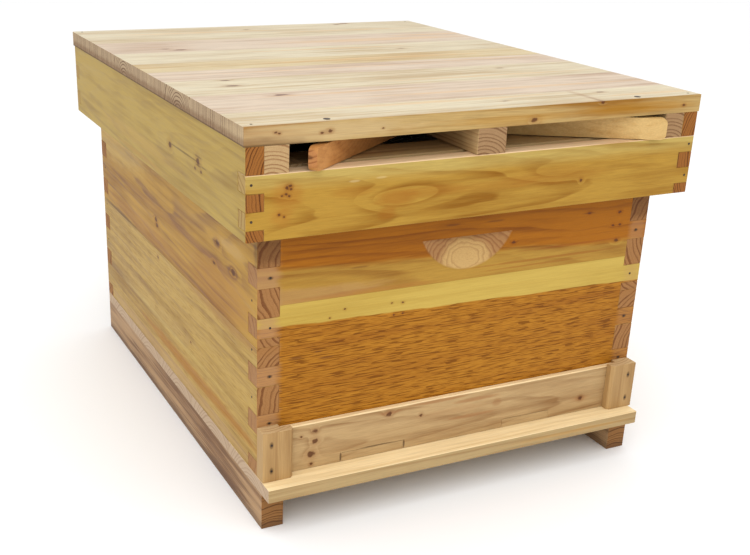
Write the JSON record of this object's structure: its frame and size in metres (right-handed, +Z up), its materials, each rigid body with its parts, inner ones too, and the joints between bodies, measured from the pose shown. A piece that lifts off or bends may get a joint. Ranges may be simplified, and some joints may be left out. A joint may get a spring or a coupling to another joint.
{
  "type": "beehive",
  "caption": "Wooden hive: finger-jointed brood box on a floor with runners, hanging comb frames, screened inner cover, and a planked lid whose vents have turning shutters.",
  "frame": {"origin": "middle of the whole hive's outline, on the ground plane that the runners stand on", "axes": "+X to the right as seen by someone facing the entrance from outside, +Y from the entrance to the back, +Z up"},
  "size_m": [0.459, 0.5702, 0.3745],
  "materials": {
    "box_wood": "planed, clear oiled",
    "lid_wood": "planed, clear oiled",
    "lid_top_wood": "planed, bare",
    "floor_wood": "planed, bare",
    "runner_wood": "rough sawn",
    "cover_wood": "planed, bare",
    "frame_wood": "planed, bare",
    "wax": "pressed beeswax sheet",
    "screen_wire": "woven galvanised wire",
    "nail_steel": "dull steel"
  },
  "bodies": {
    "hive_box": {"front_wall_lower": "box_wood", "front_wall_upper": "box_wood", "back_wall_lower": "box_wood", "back_wall_upper": "box_wood", "left_wall_lower": "box_wood", "left_wall_upper": "box_wood", "right_wall_lower": "box_wood", "right_wall_upper": "box_wood", "wall_nails": "nail_steel", "landing_board": "floor_wood", "floor_board_1": "floor_wood", "floor_board_2": "floor_wood", "floor_board_3": "floor_wood", "floor_board_4": "floor_wood", "runner_left": "runner_wood", "runner_right": "runner_wood", "floor_nails": "nail_steel", "entrance_stop_left": "floor_wood", "entrance_stop_right": "floor_wood", "entrance_stop_nails": "nail_steel"},
    "comb_frames": {"frame_top_bars": "frame_wood", "frame_end_bars": "frame_wood", "frame_bottom_bars": "frame_wood", "comb_sheets": "wax"},
    "inner_cover": {"cover_rail_left": "cover_wood", "cover_rail_right": "cover_wood", "cover_rail_front": "cover_wood", "cover_rail_back": "cover_wood", "cover_cross_bar": "cover_wood", "cover_screen_front": "screen_wire", "cover_screen_back": "screen_wire"},
    "lid": {"lid_front": "lid_wood", "lid_back": "lid_wood", "lid_left": "lid_wood", "lid_right": "lid_wood", "lid_batten_left": "lid_wood", "lid_batten_middle": "lid_wood", "lid_batten_right": "lid_wood", "lid_plank_1": "lid_top_wood", "lid_plank_2": "lid_top_wood", "lid_plank_3": "lid_top_wood", "lid_plank_4": "lid_top_wood", "lid_plank_5": "lid_top_wood", "lid_plank_6": "lid_top_wood", "lid_plank_7": "lid_top_wood", "lid_plank_8": "lid_top_wood", "lid_nails": "nail_steel", "shutter_nails": "nail_steel"},
    "shutter_left": {"vent_shutter_left": "lid_wood"},
    "shutter_right": {"vent_shutter_right": "lid_wood"},
    "slat": {"entrance_slat": "floor_wood"},
    "gate_left": {"entrance_gate_left": "floor_wood"},
    "gate_right": {"entrance_gate_right": "floor_wood"}
  },
  "joints": [
    {"name": "frames_lift", "type": "slide", "parent": "hive_box", "child": "comb_frames", "axis": [0, 0, 1], "range_m": [0, 0.26]},
    {"name": "cover_lift", "type": "slide", "parent": "comb_frames", "child": "inner_cover", "axis": [0, 0, 1], "range_m": [0, 0.1]},
    {"name": "lid_lift", "type": "slide", "parent": "inner_cover", "child": "lid", "axis": [0, 0, 1], "range_m": [0, 0.15]},
    {"name": "shutter_left_turn", "type": "hinge", "parent": "lid", "child": "shutter_left", "pos_m": [-0.155, -0.26702, 0.3468], "axis": [0, 0, 1], "range_deg": [-37.3, 50]},
    {"name": "shutter_right_turn", "type": "hinge", "parent": "lid", "child": "shutter_right", "pos_m": [0.16, -0.26702, 0.3468], "axis": [0, 0, -1], "range_deg": [-29.05, 58]},
    {"name": "slat_lift", "type": "slide", "parent": "hive_box", "child": "slat", "axis": [0, 0, 1], "range_m": [0, 0.06]},
    {"name": "gate_left_pull", "type": "slide", "parent": "slat", "child": "gate_left", "axis": [0, -1, 0], "range_m": [0, 0.02]},
    {"name": "gate_right_pull", "type": "slide", "parent": "slat", "child": "gate_right", "axis": [0, -1, 0], "range_m": [0, 0.02]}
  ]
}
